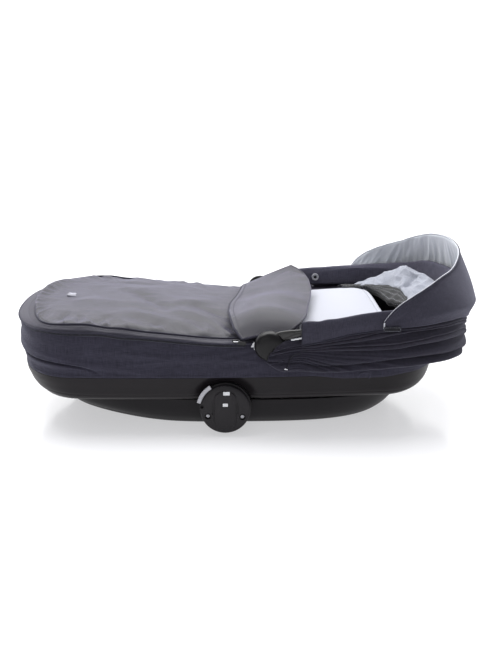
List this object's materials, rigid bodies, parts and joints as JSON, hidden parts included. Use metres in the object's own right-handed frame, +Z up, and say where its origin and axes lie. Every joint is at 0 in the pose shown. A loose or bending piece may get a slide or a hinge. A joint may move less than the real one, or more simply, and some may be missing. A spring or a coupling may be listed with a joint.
{
  "type": "carrycot",
  "caption": "Baby carrycot with a dark moulded hull, navy fabric wall and apron, white mattress, folded-back hood with a raised visor, and round side mount hubs.",
  "frame": {"origin": "bottom centre of the whole object, on the floor plane", "axes": "+X towards the head end, along the length; -Y towards the left side; +Z up"},
  "size_m": [0.8596, 0.458, 0.2951],
  "materials": {
    "shell_plastic": "fine moulded grain, near black",
    "hub_plastic": "fine moulded grain, near black",
    "navy_fabric": "dark navy melange weave",
    "apron_fabric": "dark navy twill with a soft sheen",
    "lining_fabric": "dark plain weave",
    "mattress_fabric": "white jersey",
    "liner_fabric": "light grey plain weave",
    "mesh_fabric": "black mesh with white dots",
    "board_plastic": "plain sheet",
    "rib_plastic": "flat strip",
    "frame_aluminium": "satin tube",
    "rod_steel": "plain",
    "bow_metal": "satin black coat",
    "snap_metal": "polished ring",
    "badge_metal": "satin plate, bare",
    "zip_tape": "dark tape",
    "zip_metal": "dark polished",
    "pale_plastic": "pale satin",
    "lever_plastic": "light grey satin",
    "cap_plastic": "matt black",
    "screw_steel": "cross head"
  },
  "bodies": {
    "root": {"base_shell": "shell_plastic", "base_keel": "shell_plastic", "outer_cover": "navy_fabric", "wall_board": "board_plastic", "rim_frame": "frame_aluminium", "inner_lining": "lining_fabric", "mattress": "mattress_fabric", "mattress_board": "board_plastic", "board_support_head": "rod_steel", "board_support_foot": "rod_steel", "zip_tape": "zip_tape", "hood_rear_panel": "navy_fabric", "head_liner": "liner_fabric", "mesh_panel": "mesh_fabric", "left_hub_housing": "hub_plastic", "left_hub_cover": "hub_plastic", "left_hub_window_upper": "pale_plastic", "left_hub_window_lower": "pale_plastic", "left_hub_screw_front": "screw_steel", "left_hub_screw_rear": "screw_steel", "left_hinge_bracket": "pale_plastic", "left_hinge_pin": "rod_steel", "right_hub_housing": "hub_plastic", "right_hub_cover": "hub_plastic", "right_hub_window_upper": "pale_plastic", "right_hub_window_lower": "pale_plastic", "right_hub_screw_front": "screw_steel", "right_hub_screw_rear": "screw_steel", "right_hinge_bracket": "pale_plastic", "right_hinge_pin": "rod_steel"},
    "rear_rib": {"hood_rear_rib": "rib_plastic"},
    "mid_rib": {"hood_mid_rib": "rib_plastic", "hood_mid_pleat": "navy_fabric"},
    "hood_bow": {"hood_bow": "bow_metal", "bow_sleeve": "navy_fabric", "hood_front_pleat": "navy_fabric", "left_hinge_cap": "cap_plastic", "right_hinge_cap": "cap_plastic", "band_snap": "snap_metal"},
    "visor": {"visor_panel": "navy_fabric"},
    "apron": {"apron": "apron_fabric", "badge_plate": "badge_metal"},
    "apron_flap": {"apron_flap": "apron_fabric"},
    "left_zip_slider": {"left_zip_slider": "zip_metal"},
    "right_zip_slider": {"right_zip_slider": "zip_metal"},
    "left_lever": {"left_release_lever": "lever_plastic"},
    "right_lever": {"right_release_lever": "lever_plastic"},
    "left_latch": {"left_latch_bolt": "rod_steel"},
    "right_latch": {"right_latch_bolt": "rod_steel"}
  },
  "joints": [
    {"name": "hood_unfold", "type": "hinge", "parent": "root", "child": "rear_rib", "pos_m": [0.031, 0, 0.165], "axis": [0, -1, 0], "range_deg": [0, 35]},
    {"name": "hood_mid_fan", "type": "hinge", "parent": "rear_rib", "child": "mid_rib", "pos_m": [0.031, 0, 0.165], "axis": [0, -1, 0], "range_deg": [0, 35]},
    {"name": "hood_front_fan", "type": "hinge", "parent": "mid_rib", "child": "hood_bow", "pos_m": [0.031, 0, 0.165], "axis": [0, -1, 0], "range_deg": [0, 35]},
    {"name": "visor_tilt", "type": "hinge", "parent": "hood_bow", "child": "visor", "pos_m": [0.225, 0, 0.197], "axis": [0, -1, 0], "range_deg": [0, 20]},
    {"name": "apron_lift", "type": "slide", "parent": "root", "child": "apron", "axis": [0, 0, 1], "range_m": [0, 0.1]},
    {"name": "flap_raise", "type": "hinge", "parent": "apron", "child": "apron_flap", "pos_m": [0.11, 0, 0.199], "axis": [0, 0.9899, 0.1414], "range_deg": [0, 95]},
    {"name": "left_zip_run", "type": "slide", "parent": "root", "child": "left_zip_slider", "axis": [-0.9974, 0, 0.0725], "range_m": [0, 0.12]},
    {"name": "left_lever_turn", "type": "hinge", "parent": "root", "child": "left_lever", "pos_m": [-0.045, -0.2106, 0.049], "axis": [0, -1, 0], "range_deg": [0, 10], "stiffness_Nm_per_rad": 0.3},
    {"name": "left_latch_lift", "type": "slide", "parent": "root", "child": "left_latch", "axis": [0, 0, 1], "range_m": [0, 0.0063]},
    {"name": "right_zip_run", "type": "slide", "parent": "root", "child": "right_zip_slider", "axis": [-0.9974, 0, 0.0725], "range_m": [0, 0.12]},
    {"name": "right_lever_turn", "type": "hinge", "parent": "root", "child": "right_lever", "pos_m": [-0.045, 0.2106, 0.049], "axis": [0, -1, 0], "range_deg": [0, 10], "stiffness_Nm_per_rad": 0.3},
    {"name": "right_latch_lift", "type": "slide", "parent": "root", "child": "right_latch", "axis": [0, 0, 1], "range_m": [0, 0.0063]}
  ],
  "couplings": [
    {"joint": "hood_mid_fan", "follows": "hood_unfold", "ratio": 1},
    {"joint": "hood_front_fan", "follows": "hood_unfold", "ratio": 1},
    {"joint": "left_latch_lift", "follows": "left_lever_turn", "m_per_rad": 0.034},
    {"joint": "right_latch_lift", "follows": "right_lever_turn", "m_per_rad": 0.034}
  ]
}
